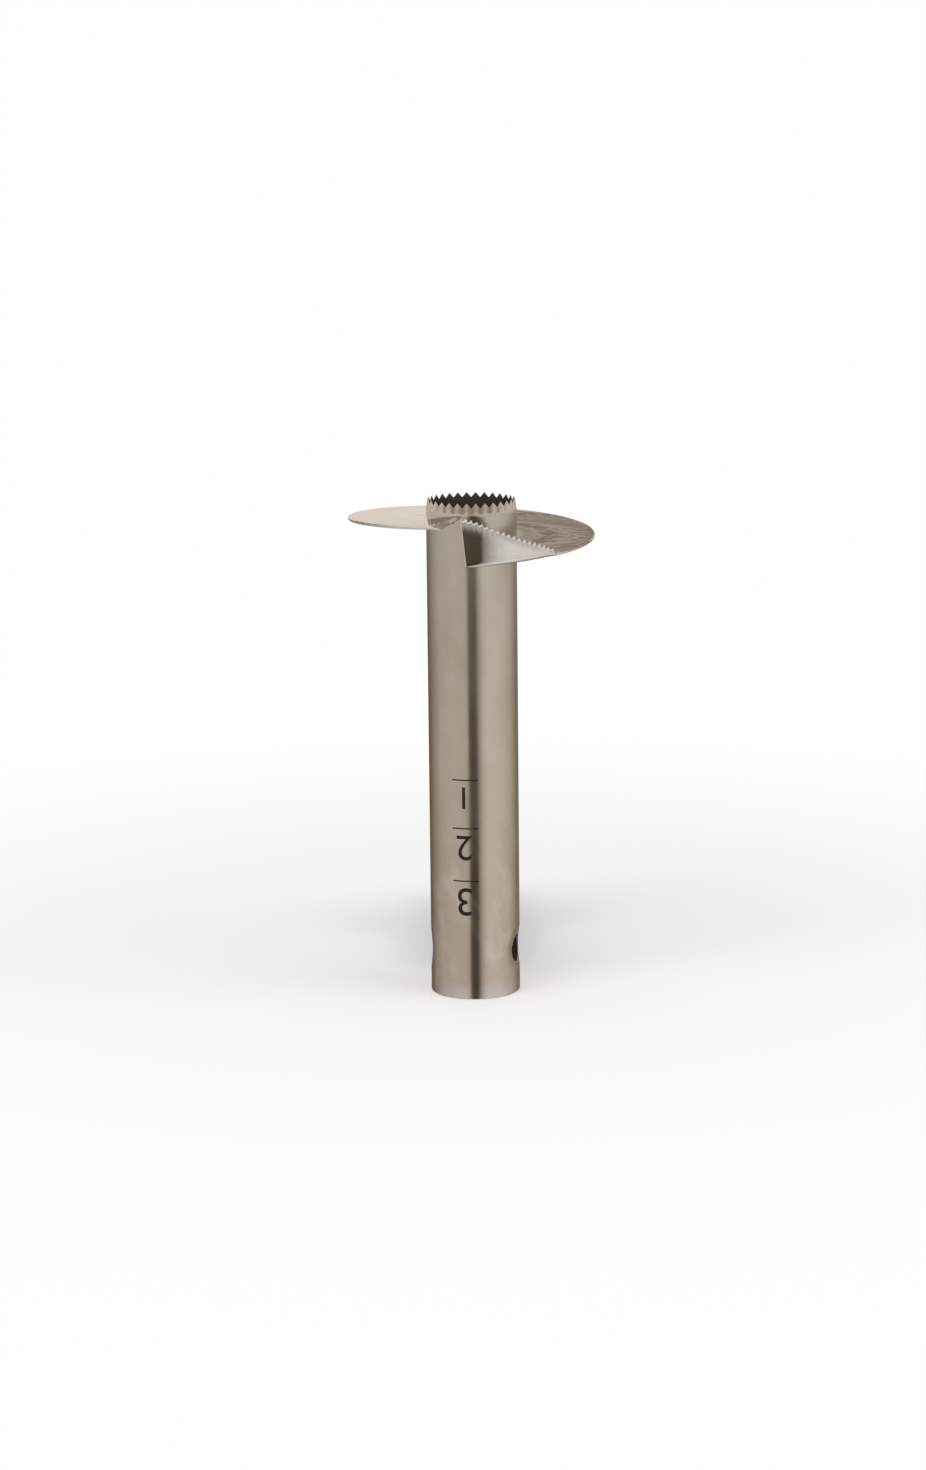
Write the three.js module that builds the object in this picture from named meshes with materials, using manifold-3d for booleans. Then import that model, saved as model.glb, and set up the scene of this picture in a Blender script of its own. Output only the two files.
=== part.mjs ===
// Pineapple slicer: a steel core tube that carries a one-turn spiral blade with a toothed flap,
// and the T-shaped handle that clips into the tube's lower end, here taken off and set down
// behind it. Millimetres, +Z up. The slicer stands on the end that takes the handle, with its
// blade up, and the origin is on the floor in the middle of the two.
import * as THREE from "three";
import { mergeVertices } from "three/addons/utils/BufferGeometryUtils.js";
import Module from "manifold-3d";

const wasm = await Module();
wasm.setup();

// Driving dimensions, in millimetres and degrees
const seatGap = 0.3; // between pieces that touch
const cutOverrun = 2; // how far every cut runs past what it cuts

// Core tube
const tubeRadius = 16.2;
const tubeWall = 0.8;
const tubeLength = 181;
const tubeSides = 60; // two for each tooth of the cutting rim
const tubeEdgeRound = 0.35;
const rimToothDepth = 1.8;
const rimBevelHeight = 4;
const rimEdgeWall = 0.25;

// Latch windows, through the wall near the handle's end
const windowRadius = 5;
const windowHeight = 16; // of its centre, above the tube's end
const windowTurn = -14; // of the right window, from +X
const dishRadius = 9.4; // the wall is pressed in round each window
const dishDepth = 0.55;
const dishRows = 6;

// Spiral blade, a right-hand helicoid of a little under one turn
const bladeRadius = 44;
const bladeThickness = 1;
const bladeStart = 266.8; // the low end, under the toothed flap
const bladeTurn = 349.2; // round to the cutting edge, the high end
const bladeDrop = 18.8; // of its underside at the low end, from the tube's top rim
const bladeRise = 13.5;
const climbShare = 0.5; // how much steeper it starts than it ends
const bladeStep = 6;
const edgeGrindAngle = 4; // the cutting edge is ground thin over this
const edgeThickness = 0.2;

// Toothed flap, the blade's rim bent up at its low end
const flapHeight = 18.5;
const flapEndHeight = 2.7;
const flapCornerDrop = 0.7; // the flap's free corner is rounded off by this,
const flapCornerTeeth = 3; // over these teeth
const flapLean = 2.6; // of its free edge, over its full height
const flapMargin = 0.6; // from the free edge to the first tooth's tip
const toothCount = 19;
const toothPitch = 2.433;
const toothDepth = 1.3;
const toothRiseShare = 0.8; // of the pitch, the long side of a tooth
const toothBevel = 0.9; // height of the bevel ground along the teeth, from outside
const toothEdge = 0.45;
const bendRadius = 1.8; // outside
const bendSteps = 3;
const rimRound = 0.3; // of the rim's lower corner, past the flap

// Weld bead under the blade
const weldLeg = 1.6;
const weldMargin = 6; // from each end of the blade

// Handle grip, lying on its crown with the plug up
const handleSetback = 78; // from the tube's axis to the plug's
const gripLength = 112;
const gripWidth = 30;
const gripDepth = 27;
const gripWall = 2.4;
const gripParting = 13;
const gripLand = 0.6; // cut off the crown, so that it lies flat
const crownRise = 5; // of the crown at the grip's ends
const crownPower = 3;
const fingerDip = 3.4; // of the fingers' side, on each arm
const fingerDipShare = 0.9; // of each arm's length
const gripStations = 16;
const gripSides = 18;
const gripEndPower = 3.2;
const gripSectionPower = 2.5;
const gripTipShare = 0.02; // of the full section, at the closed ends
const padThickness = 1.5;
const padLength = 84;
const padDepth = 8; // how far it reaches up the grip's sides
const padCornerRadius = 12;
const padCornerSteps = 4;

// Neck, the collar between the grip and the plug
const shoulderHeight = 34;
const neckBandHeight = 3.5; // its straight band under the shoulder
const neckWaist = 13; // radius
const neckCove = 4.5; // height of the cove between the waist and the band
const coveSteps = 4;
const neckWeb = 3;
const neckSides = 32;

// Plug, which goes inside the tube
const plugLength = 28;
const plugSink = 1; // its foot stands this deep in the neck's top
const plugWall = 2.5;
const plugFloor = 3;
const plugLeadIn = 1.2;
const spigotRadius = 11.6;
const spigotLength = 5;
const capThickness = 1.8;
const capSkirt = 3;
const capSkirtWall = 1.6;
const capScrewInset = 1;
const webThickness = 2.6; // the plug's middle wall, which both springs push on
const springPegRadius = 1.7;
const springPegLength = 2.2;

// Latch buttons
const buttonRadius = 4.7;
const buttonProud = 0.4; // of the tube's outside, when it is clipped in
const buttonDome = 0.9;
const buttonFlange = 1.2;
const buttonFlangeThickness = 1.5;
const buttonBoreRadius = 3.3;
const buttonNoseWall = 3;
const buttonTravel = 2.2; // takes the nose inside the tube's bore
const buttonSides = 32; // of the button, its bore and the tube's windows
const domeSteps = 3;

// Latch springs
const springRadius = 2.45; // to the middle of the wire
const springWire = 0.6;
const springTurns = 6;
const springTurnSteps = 10;
const springWireSides = 5;

// Screws
const screwRadius = 1.25;
const screwHeadRadius = 2.6;
const screwHeadHeight = 1.8;
const screwSlotWidth = 0.8;
const screwSlotDepth = 0.9;
const screwSides = 16;
const bossWall = 1.7;
const gripScrewPlace = 37; // from the plug's axis, along each arm
const gripScrewLength = 10;
const gripScrewBury = 5; // of its head, under the fingers' side
const plugScrewPlace = 6.2;
const plugScrewLength = 8;
const capScrewLength = 5.5;

const tubeBore = tubeRadius - tubeWall;
const plugRadius = tubeBore - seatGap;
const plugBore = plugRadius - plugWall;
const plugBottom = shoulderHeight - plugSink + seatGap;
const plugTop = shoulderHeight + plugLength;
const latchHeight = shoulderHeight + windowHeight;
const bladeBore = tubeRadius + seatGap;
const bladeLow = tubeLength - bladeDrop;
const radians = THREE.MathUtils.degToRad;

// A geometry's closed surface as a solid
function solid(geometry) {
  const bare = new THREE.BufferGeometry();
  const flat = geometry.index ? geometry.toNonIndexed() : geometry;
  bare.setAttribute("position", flat.getAttribute("position"));
  const merged = mergeVertices(bare);
  const corners = [];
  for (let i = 0; i < merged.index.count; i += 3) {
    const [a, b, c] = [0, 1, 2].map((k) => merged.index.getX(i + k));
    if (a !== b && b !== c && c !== a) corners.push(a, b, c);
  }
  const vertProperties = new Float32Array(merged.attributes.position.array);
  const mesh = new wasm.Mesh({ numProp: 3, vertProperties, triVerts: new Uint32Array(corners) });
  return new wasm.Manifold(mesh);
}

// A solid as a named mesh
function piece(name, body, material) {
  const data = body.getMesh();
  const geometry = new THREE.BufferGeometry();
  geometry.setAttribute("position", new THREE.BufferAttribute(new Float32Array(data.vertProperties), 3));
  geometry.setIndex(new THREE.BufferAttribute(new Uint32Array(data.triVerts), 1));
  geometry.computeVertexNormals();
  const mesh = new THREE.Mesh(geometry, material);
  mesh.name = name;
  return mesh;
}

// A surface through equal sections, each a counter-clockwise list of points; the ends are closed
function loft(sections, contours) {
  const count = sections[0].length;
  const points = sections.flat();
  const index = [];
  for (let k = 0; k + 1 < sections.length; k += 1) {
    for (let j = 0; j < count; j += 1) {
      const next = (j + 1) % count;
      const a = k * count + j;
      const b = a + count;
      const c = (k + 1) * count + next;
      const d = k * count + next;
      index.push(a, b, c, a, c, d);
    }
  }
  const last = (sections.length - 1) * count;
  for (const [a, b, c] of THREE.ShapeUtils.triangulateShape(contours[0], [])) index.push(a, b, c);
  for (const [a, b, c] of THREE.ShapeUtils.triangulateShape(contours[1], [])) {
    index.push(last + c, last + b, last + a);
  }
  const geometry = new THREE.BufferGeometry().setFromPoints(points);
  geometry.setIndex(index);
  return geometry;
}

// A solid turned about Z, from a profile of [radius, height] pairs, lowest outside point first
function turned(profile, sides) {
  const points = profile.map(([r, z]) => new THREE.Vector2(r, z));
  return solid(new THREE.LatheGeometry(points, sides).rotateX(Math.PI / 2));
}

// A round bar along X, Y or Z, from one end to the other
function bar(radius, from, to, sides = screwSides) {
  const start = new THREE.Vector3(...from);
  const run = new THREE.Vector3(...to).sub(start);
  const geometry = new THREE.CylinderGeometry(radius, radius, run.length(), sides);
  geometry.translate(0, run.length() / 2, 0);
  const up = new THREE.Vector3(0, 1, 0);
  geometry.applyQuaternion(new THREE.Quaternion().setFromUnitVectors(up, run.clone().normalize()));
  geometry.translate(start.x, start.y, start.z);
  return solid(geometry);
}

// A box between two corners
function block(low, high) {
  const size = high.map((v, i) => v - low[i]);
  const geometry = new THREE.BoxGeometry(...size);
  geometry.translate(...low.map((v, i) => v + size[i] / 2));
  return solid(geometry);
}

// Inward press of the tube's wall at a point, which rounds off from each window's edge
function dish(angle, height) {
  const along = height - windowHeight;
  const turns = [windowTurn, windowTurn + 180].map((turn) => Math.abs(((angle - turn + 540) % 360) - 180));
  const across = radians(Math.min(...turns)) * tubeRadius;
  const reach = Math.hypot(along, across);
  if (reach >= dishRadius) return 0;
  const span = dishRadius - windowRadius;
  const share = Math.min(1, (dishRadius - reach) / span);
  return (dishDepth * (1 - Math.cos(Math.PI * share))) / 2;
}

// The core tube: a drawn tube with a saw-toothed rim ground from outside, a rounded lower end
// and two opposed windows in shallow dishes
function coreTube() {
  const inside = [];
  const outside = [];
  const dishLow = windowHeight - dishRadius;
  for (let i = 0; i <= dishRows; i += 1) {
    const height = dishLow + (2 * dishRadius * i) / dishRows;
    outside.push([tubeRadius, height]);
    inside.unshift([tubeBore, height]);
  }
  const grindStart = tubeLength - rimBevelHeight;
  const profile = [
    [tubeBore, 0],
    [tubeRadius - tubeEdgeRound, 0],
    [tubeRadius, tubeEdgeRound],
    ...outside,
    [tubeRadius, grindStart],
    [tubeBore + rimEdgeWall, tubeLength],
    [tubeBore, tubeLength],
    ...inside,
  ];
  const columns = Array.from({ length: tubeSides }, (_, i) => i);
  const points = profile.flatMap(([radius, height]) =>
    columns.map((i) => {
      const angle = (360 * i) / tubeSides;
      const r = radius - dish(angle, height);
      const notch = height === tubeLength && i % 2 ? rimToothDepth : 0;
      return new THREE.Vector3(r * Math.cos(radians(angle)), r * Math.sin(radians(angle)), height - notch);
    }),
  );
  const index = [];
  for (let row = 0; row < profile.length; row += 1) {
    for (const i of columns) {
      const next = (i + 1) % tubeSides;
      const above = (row + 1) % profile.length;
      const a = row * tubeSides + i;
      const b = row * tubeSides + next;
      const c = above * tubeSides + next;
      const d = above * tubeSides + i;
      index.push(a, b, c, a, c, d);
    }
  }
  const geometry = new THREE.BufferGeometry().setFromPoints(points);
  geometry.setIndex(index);
  const reach = tubeRadius + cutOverrun;
  const turn = radians(windowTurn);
  const end = [reach * Math.cos(turn), reach * Math.sin(turn), windowHeight];
  const start = [-end[0], -end[1], windowHeight];
  return solid(geometry).subtract(bar(windowRadius, start, end, buttonSides));
}

// Height of the blade's underside, which climbs a little faster at its low end
function bladeUnderside(angle) {
  const share = (angle - bladeStart) / bladeTurn;
  return bladeLow + bladeRise * (share + climbShare * share * (1 - share));
}

// Height of the flap's teeth above the blade's underside, at a place counted in teeth
function flapReach(place) {
  const share = place / (toothCount - 1);
  const corner = Math.max(0, 1 - place / flapCornerTeeth);
  return flapHeight + (flapEndHeight - flapHeight) * share - flapCornerDrop * corner * corner;
}

// Places round the blade and how high its rim stands there: the free edge of the flap, a root
// and a tip for each tooth, the end of the flap, and then plain blade to the cutting edge
function bladeStations() {
  const stations = [{ angle: bladeStart, height: flapReach(0) - toothDepth / 2 }];
  for (let i = 0; i < toothCount; i += 1) {
    const tip = bladeStart + flapMargin + toothPitch * i;
    const root = tip + toothPitch * (1 - toothRiseShare);
    stations.push({ angle: tip, height: flapReach(i) });
    stations.push({ angle: root, height: flapReach(i + 1 - toothRiseShare) - toothDepth });
  }
  const flapEnd = bladeStart + flapMargin + toothPitch * toothCount;
  const plain = bladeStart + bladeTurn - flapEnd;
  const steps = Math.ceil(plain / bladeStep);
  for (let i = 0; i <= steps; i += 1) {
    stations.push({ angle: flapEnd + (plain * i) / steps, height: bladeThickness });
  }
  const grind = { angle: bladeStart + bladeTurn - edgeGrindAngle, height: bladeThickness };
  stations.splice(stations.length - 1, 0, grind);
  return stations;
}

// Section of the blade across its sheet, from the bore to the rim, with the rim bent up to a
// height; the top of the flap is ground thin from outside
function bladeContour(height, thickness) {
  const outer = height > bladeThickness ? Math.min(bendRadius, height) : Math.min(rimRound, height);
  const inner = Math.max(0, Math.min(bendRadius - thickness, height - thickness));
  const edge = height > bendRadius ? toothEdge : thickness;
  const bevel = Math.max(outer, height - toothBevel);
  const contour = [new THREE.Vector2(bladeBore, 0)];
  for (let i = 0; i <= bendSteps; i += 1) {
    const turn = (Math.PI / 2) * (i / bendSteps);
    const r = bladeRadius - outer + outer * Math.sin(turn);
    contour.push(new THREE.Vector2(r, outer - outer * Math.cos(turn)));
  }
  contour.push(new THREE.Vector2(bladeRadius, bevel));
  contour.push(new THREE.Vector2(bladeRadius - thickness + edge, height));
  contour.push(new THREE.Vector2(bladeRadius - thickness, height));
  for (let i = 0; i <= bendSteps; i += 1) {
    const turn = (Math.PI / 2) * (i / bendSteps);
    const r = bladeRadius - thickness - inner + inner * Math.cos(turn);
    contour.push(new THREE.Vector2(r, thickness + inner - inner * Math.sin(turn)));
  }
  contour.push(new THREE.Vector2(bladeBore, thickness));
  return contour;
}

// The blade, lofted round the tube through its stations, with the flap leaning at its free edge
function spiralBlade() {
  const stations = bladeStations();
  const end = stations[stations.length - 1].angle;
  const contours = stations.map(({ angle, height }) => {
    const thickness = angle === end ? edgeThickness : bladeThickness;
    return bladeContour(Math.min(height, angle === end ? edgeThickness : height), thickness);
  });
  const sections = stations.map(({ angle }, k) =>
    contours[k].map((point) => {
      const raised = Math.max(0, point.y - bladeThickness);
      const turn = radians(angle - (flapLean * raised) / flapHeight);
      const height = bladeUnderside(angle) + point.y;
      return new THREE.Vector3(point.x * Math.cos(turn), point.x * Math.sin(turn), height);
    }),
  );
  return solid(loft(sections, [contours[0], contours[contours.length - 1]]));
}

// The weld bead that fills the corner between the blade's underside and the tube
function bladeWeld() {
  const contour = [
    new THREE.Vector2(bladeBore, -weldLeg - seatGap),
    new THREE.Vector2(bladeBore + weldLeg, -seatGap),
    new THREE.Vector2(bladeBore, -seatGap),
  ];
  const run = bladeTurn - 2 * weldMargin;
  const steps = Math.round(run / bladeStep);
  const sections = Array.from({ length: steps + 1 }, (_, i) => {
    const angle = bladeStart + weldMargin + (run * i) / steps;
    const turn = radians(angle);
    return contour.map(
      (point) =>
        new THREE.Vector3(
          point.x * Math.cos(turn),
          point.x * Math.sin(turn),
          bladeUnderside(angle) + point.y,
        ),
    );
  });
  return solid(loft(sections, [contour, contour]));
}

// Outer form of the grip, drawn in by an inset: rounded sections along Y, with a crowned palm
// side below, a finger dip on each arm above, and full round ends
function gripForm(inset) {
  const half = gripLength / 2 - inset;
  const sections = [];
  const contours = [];
  for (let k = 0; k <= gripStations; k += 1) {
    const along = -Math.cos((Math.PI * k) / gripStations);
    const place = Math.abs(along);
    const full = (1 - place ** gripEndPower) ** (1 / gripEndPower);
    const size = Math.max(full, gripTipShare);
    const low = crownRise * place ** crownPower - gripLand + inset;
    const dip = fingerDip * Math.sin(Math.PI * Math.min(1, place / fingerDipShare)) ** 2;
    const high = gripDepth - dip - inset;
    const middle = (low + high) / 2;
    const contour = [];
    for (let j = 0; j < gripSides; j += 1) {
      const turn = (2 * Math.PI * j) / gripSides;
      const c = Math.cos(turn);
      const s = Math.sin(turn);
      const x = Math.sign(c) * Math.abs(c) ** (2 / gripSectionPower) * (gripWidth / 2 - inset) * size;
      const z = Math.sign(s) * Math.abs(s) ** (2 / gripSectionPower) * ((high - low) / 2) * size;
      contour.push(new THREE.Vector2(x, middle + z));
    }
    contours.push(contour);
    sections.push(contour.map((point) => new THREE.Vector3(point.x, along * half, point.y)));
  }
  return solid(loft(sections, [contours[0], contours[contours.length - 1]]));
}

// Everything between two heights, as wide as the grip and the neck
function slab(low, high) {
  const reach = gripLength / 2 + cutOverrun;
  return block([-reach, -reach, low], [reach, reach, high]);
}

// The outline of the palm pad, as a prism that covers the crown
function padPrism(grow, top) {
  const half = padLength / 2 + grow;
  const wide = gripWidth;
  const corner = padCornerRadius;
  const shape = new THREE.Shape();
  shape.moveTo(-wide, -half + corner);
  shape.quadraticCurveTo(-wide / 2, -half, 0, -half);
  shape.quadraticCurveTo(wide / 2, -half, wide, -half + corner);
  shape.lineTo(wide, half - corner);
  shape.quadraticCurveTo(wide / 2, half, 0, half);
  shape.quadraticCurveTo(-wide / 2, half, -wide, half - corner);
  shape.closePath();
  const geometry = new THREE.ExtrudeGeometry(shape, {
    depth: top + cutOverrun,
    bevelEnabled: false,
    curveSegments: padCornerSteps,
  });
  return solid(geometry.translate(0, 0, -cutOverrun));
}

// The two places of the grip's screws and of the plug's screws
const gripScrewPlaces = [-gripScrewPlace, gripScrewPlace];
const plugScrewPlaces = [-plugScrewPlace, plugScrewPlace];
const gripScrewHeadTop = gripDepth - fingerDip - gripScrewBury;
const gripScrewSeat = gripScrewHeadTop - screwHeadHeight;
const webTop = shoulderHeight - spigotLength - seatGap;
const webBottom = webTop - neckWeb;
const neckFoot = gripParting + gripWall;

// Palm side of the grip: a hollow half shell with a boss for each grip screw, and a floor that is
// sunk behind the pad
function crownShell(outer, inner) {
  const sunkOutline = padPrism(seatGap + gripWall, padDepth + gripWall);
  let hollow = inner.subtract(sunkOutline.subtract(gripForm(padThickness + seatGap + gripWall)));
  for (const y of gripScrewPlaces) {
    hollow = hollow.subtract(bar(screwRadius + bossWall, [0, y, 0], [0, y, gripDepth]));
  }
  const recess = padPrism(seatGap, padDepth + seatGap).subtract(gripForm(padThickness + seatGap));
  let shell = outer.intersect(slab(0, gripParting - seatGap)).subtract(hollow).subtract(recess);
  for (const y of gripScrewPlaces) {
    const holeBottom = gripScrewSeat - gripScrewLength - seatGap;
    shell = shell.subtract(bar(screwRadius + seatGap, [0, y, holeBottom], [0, y, gripDepth]));
  }
  return shell;
}

// Soft pad let into the crown, flat where the handle lies on it
function palmPad(outer) {
  const skin = padPrism(0, padDepth).subtract(gripForm(padThickness));
  return skin.intersect(outer).intersect(slab(0, gripDepth));
}

// Profile of the neck's outside: a waist that comes out of the grip, and a cove under the band
function neckProfile() {
  const bandBottom = shoulderHeight - neckBandHeight;
  const profile = [
    [0, neckFoot],
    [neckWaist, neckFoot],
  ];
  for (let i = 0; i <= coveSteps; i += 1) {
    const turn = (Math.PI / 2) * (i / coveSteps);
    const radius = tubeRadius - (tubeRadius - neckWaist) * Math.cos(turn);
    profile.push([radius, bandBottom - neckCove + neckCove * Math.sin(turn)]);
  }
  profile.push([tubeRadius, shoulderHeight - tubeEdgeRound]);
  profile.push([tubeRadius - tubeEdgeRound, shoulderHeight]);
  profile.push([0, shoulderHeight]);
  return profile;
}

// Fingers' side of the grip, in one piece with the neck, whose flat top stops the tube's end
function neckShell(outer, inner) {
  let hollow = inner;
  for (const y of gripScrewPlaces) {
    hollow = hollow.subtract(bar(screwHeadRadius + bossWall, [0, y, 0], [0, y, gripDepth]));
  }
  let shell = outer.intersect(slab(gripParting, gripDepth + cutOverrun)).subtract(hollow);
  const neckBore = neckWaist - gripWall;
  const bore = turned(
    [
      [0, neckFoot - cutOverrun],
      [neckBore, neckFoot - cutOverrun],
      [neckBore, webBottom - gripWall],
      [spigotRadius - gripWall, webBottom],
      [0, webBottom],
    ],
    neckSides,
  );
  const mouth = [0, 0, shoulderHeight + cutOverrun];
  const socket = bar(spigotRadius + seatGap, [0, 0, webTop], mouth, neckSides);
  const footSeat = bar(plugRadius + seatGap, [0, 0, shoulderHeight - plugSink], mouth, neckSides);
  shell = shell.add(turned(neckProfile(), neckSides)).subtract(bore).subtract(socket);
  shell = shell.subtract(footSeat);
  for (const y of gripScrewPlaces) {
    const above = [0, y, gripDepth + cutOverrun];
    shell = shell.subtract(bar(screwRadius + seatGap, [0, y, gripParting - cutOverrun], above));
    shell = shell.subtract(bar(screwHeadRadius + seatGap, [0, y, gripScrewSeat - seatGap], above));
  }
  for (const y of plugScrewPlaces) {
    const above = [0, y, webTop + cutOverrun];
    shell = shell.subtract(bar(screwRadius + seatGap, [0, y, webBottom - cutOverrun], above));
  }
  return shell;
}

// Places of the latch along +X, from the plug's axis
const buttonTip = tubeRadius + buttonProud;
const flangeOuter = Math.sqrt(plugBore ** 2 - (buttonRadius + buttonFlange) ** 2) - seatGap;
const flangeInner = flangeOuter - buttonFlangeThickness;
const springStart = webThickness / 2 + seatGap;
const springEnd = buttonTip - buttonNoseWall - seatGap;

// The plug: a cup with a spigot below, a middle wall across it and a bore each side for a button
function plugBody() {
  const spigotBottom = webTop + seatGap;
  const capSeat = plugTop - capThickness - seatGap;
  let body = turned(
    [
      [0, spigotBottom],
      [spigotRadius, spigotBottom],
      [spigotRadius, plugBottom],
      [plugRadius, plugBottom],
      [plugRadius, capSeat],
      [plugBore, capSeat],
      [plugBore, plugBottom + plugFloor],
      [0, plugBottom + plugFloor],
    ],
    neckSides,
  );
  const wallTop = capSeat - capSkirt - seatGap;
  const wallEnd = plugBore + plugWall / 2;
  const low = [-webThickness / 2, -wallEnd, plugBottom];
  body = body.add(block(low, [webThickness / 2, wallEnd, wallTop]));
  const pegReach = webThickness / 2 + springPegLength;
  body = body.add(bar(springPegRadius, [-pegReach, 0, latchHeight], [pegReach, 0, latchHeight]));
  const postBottom = latchHeight + springRadius + springWire / 2 + seatGap;
  const capPost = bar(screwRadius + seatGap + bossWall, [0, 0, postBottom], [0, 0, wallTop]);
  body = body.add(capPost);
  const past = plugRadius + cutOverrun;
  for (const side of [-1, 1]) {
    const start = [side * (flangeInner - buttonTravel - seatGap), 0, latchHeight];
    const bore = bar(buttonRadius + seatGap, start, [side * past, 0, latchHeight], buttonSides);
    body = body.subtract(bore);
  }
  for (const y of plugScrewPlaces) {
    const screwTop = webBottom + plugScrewLength + seatGap;
    const hole = bar(screwRadius + seatGap, [0, y, spigotBottom - cutOverrun], [0, y, screwTop]);
    body = body.subtract(hole);
  }
  const capScrewBottom = plugTop - capScrewInset - screwHeadHeight - capScrewLength - seatGap;
  body = body.subtract(bar(screwRadius + seatGap, [0, 0, capScrewBottom], [0, 0, plugTop]));
  return body;
}

// The cap that closes the plug, with a skirt inside its wall and a sunk screw in the middle
function plugCap() {
  const bottom = plugTop - capThickness;
  const skirtOuter = plugBore - seatGap;
  const headBottom = plugTop - capScrewInset - screwHeadHeight - seatGap;
  const dishOuter = skirtOuter - capSkirtWall;
  let cap = turned(
    [
      [0, bottom],
      [dishOuter, bottom],
      [dishOuter, bottom - capSkirt],
      [skirtOuter, bottom - capSkirt],
      [skirtOuter, bottom],
      [plugRadius, bottom],
      [plugRadius, plugTop - plugLeadIn],
      [plugRadius - plugLeadIn, plugTop],
      [0, plugTop],
    ],
    neckSides,
  );
  const cup = bar(screwHeadRadius + seatGap + bossWall, [0, 0, bottom - capSkirt], [0, 0, bottom + seatGap]);
  cap = cap.add(cup);
  cap = cap.subtract(bar(screwHeadRadius + seatGap, [0, 0, headBottom], [0, 0, plugTop + cutOverrun]));
  return cap.subtract(bar(screwRadius + seatGap, [0, 0, bottom - capSkirt - cutOverrun], [0, 0, plugTop]));
}

// A latch button, pointing along +X: a domed nose, a flange that keeps it in, a bore for its spring
function latchButton() {
  const profile = [
    [0, flangeInner],
    [buttonRadius + buttonFlange, flangeInner],
    [buttonRadius + buttonFlange, flangeOuter],
    [buttonRadius, flangeOuter],
  ];
  for (let i = 0; i <= domeSteps; i += 1) {
    const turn = (Math.PI / 2) * (i / domeSteps);
    const fall = buttonDome * (1 - Math.sin(turn));
    profile.push([buttonRadius * Math.max(0, Math.cos(turn)), buttonTip - fall]);
  }
  const body = turned(profile, buttonSides);
  const boreTop = [0, 0, buttonTip - buttonNoseWall];
  const bore = bar(buttonBoreRadius, [0, 0, flangeInner - cutOverrun], boreTop, buttonSides);
  return body.subtract(bore).rotate([0, 90, 0]).translate([0, 0, latchHeight]);
}

// A compression spring along +X, wound as one unbroken wire
function latchSpring() {
  class Coil extends THREE.Curve {
    getPoint(share, target = new THREE.Vector3()) {
      const turn = 2 * Math.PI * springTurns * share;
      const run = springEnd - springStart - springWire;
      const x = springStart + springWire / 2 + run * share;
      return target.set(x, springRadius * Math.cos(turn), latchHeight + springRadius * Math.sin(turn));
    }
  }
  const wire = new THREE.Shape();
  for (let i = 0; i < springWireSides; i += 1) {
    const turn = (2 * Math.PI * i) / springWireSides;
    const [x, y] = [(springWire / 2) * Math.cos(turn), (springWire / 2) * Math.sin(turn)];
    if (i) wire.lineTo(x, y);
    else wire.moveTo(x, y);
  }
  wire.closePath();
  const steps = springTurns * springTurnSteps;
  return solid(new THREE.ExtrudeGeometry(wire, { steps, bevelEnabled: false, extrudePath: new Coil() }));
}

// A screw along +Z with its head down or up, its seat at the origin of its run
function screw(length, headDown) {
  const shank = bar(screwRadius, [0, 0, -screwHeadHeight / 2], [0, 0, length]);
  const head = bar(screwHeadRadius, [0, 0, -screwHeadHeight], [0, 0, 0]);
  const slotEnd = screwHeadRadius + cutOverrun;
  const low = [-slotEnd, -screwSlotWidth / 2, -screwHeadHeight - cutOverrun];
  const slot = block(low, [slotEnd, screwSlotWidth / 2, screwSlotDepth - screwHeadHeight]);
  const body = shank.add(head).subtract(slot);
  return headDown ? body : body.rotate([180, 0, 0]);
}

// Finishes
const polishedSteel = new THREE.MeshStandardMaterial({ color: 0xb9b4ae, metalness: 1, roughness: 0.16 });
const weldSteel = new THREE.MeshStandardMaterial({ color: 0xa09a92, metalness: 1, roughness: 0.4 });
const blackPlastic = new THREE.MeshStandardMaterial({ color: 0x1c1c1d, metalness: 0, roughness: 0.5 });
const softGrip = new THREE.MeshStandardMaterial({ color: 0x2a2a2b, metalness: 0, roughness: 0.85 });
const greyPlastic = new THREE.MeshStandardMaterial({ color: 0x8d9092, metalness: 0, roughness: 0.4 });
const zincSteel = new THREE.MeshStandardMaterial({ color: 0xc2c4c6, metalness: 1, roughness: 0.3 });

// The slicer, round the tube's axis
const slicer = new THREE.Group();
slicer.add(piece("core_tube", coreTube(), polishedSteel));
slicer.add(piece("spiral_blade", spiralBlade(), polishedSteel));
slicer.add(piece("blade_weld", bladeWeld(), weldSteel));

// The handle, round the plug's axis
const handle = new THREE.Group();
const gripOuter = gripForm(0);
const gripInner = gripForm(gripWall);
handle.add(piece("crown_shell", crownShell(gripOuter, gripInner), blackPlastic));
handle.add(piece("palm_pad", palmPad(gripOuter), softGrip));
handle.add(piece("neck_shell", neckShell(gripOuter, gripInner), blackPlastic));
handle.add(piece("plug_body", plugBody(), blackPlastic));
handle.add(piece("plug_cap", plugCap(), blackPlastic));
for (const [side, turn] of [["right", 0], ["left", 180]]) {
  const latch = new THREE.Group();
  latch.add(piece("latch_button_" + side, latchButton(), greyPlastic));
  latch.add(piece("latch_spring_" + side, latchSpring(), zincSteel));
  latch.rotation.z = radians(turn);
  handle.add(latch);
}
gripScrewPlaces.forEach((y, i) => {
  const body = screw(gripScrewLength, false).translate([0, y, gripScrewSeat]);
  handle.add(piece("grip_screw_" + (i + 1), body, zincSteel));
});
plugScrewPlaces.forEach((y, i) => {
  const body = screw(plugScrewLength, true).translate([0, y, webBottom - seatGap]);
  handle.add(piece("plug_screw_" + (i + 1), body, zincSteel));
});
const capScrewSeat = plugTop - capScrewInset - screwHeadHeight;
const capScrewBody = screw(capScrewLength, false).translate([0, 0, capScrewSeat]);
handle.add(piece("cap_screw", capScrewBody, zincSteel));
handle.position.y = handleSetback;

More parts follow.
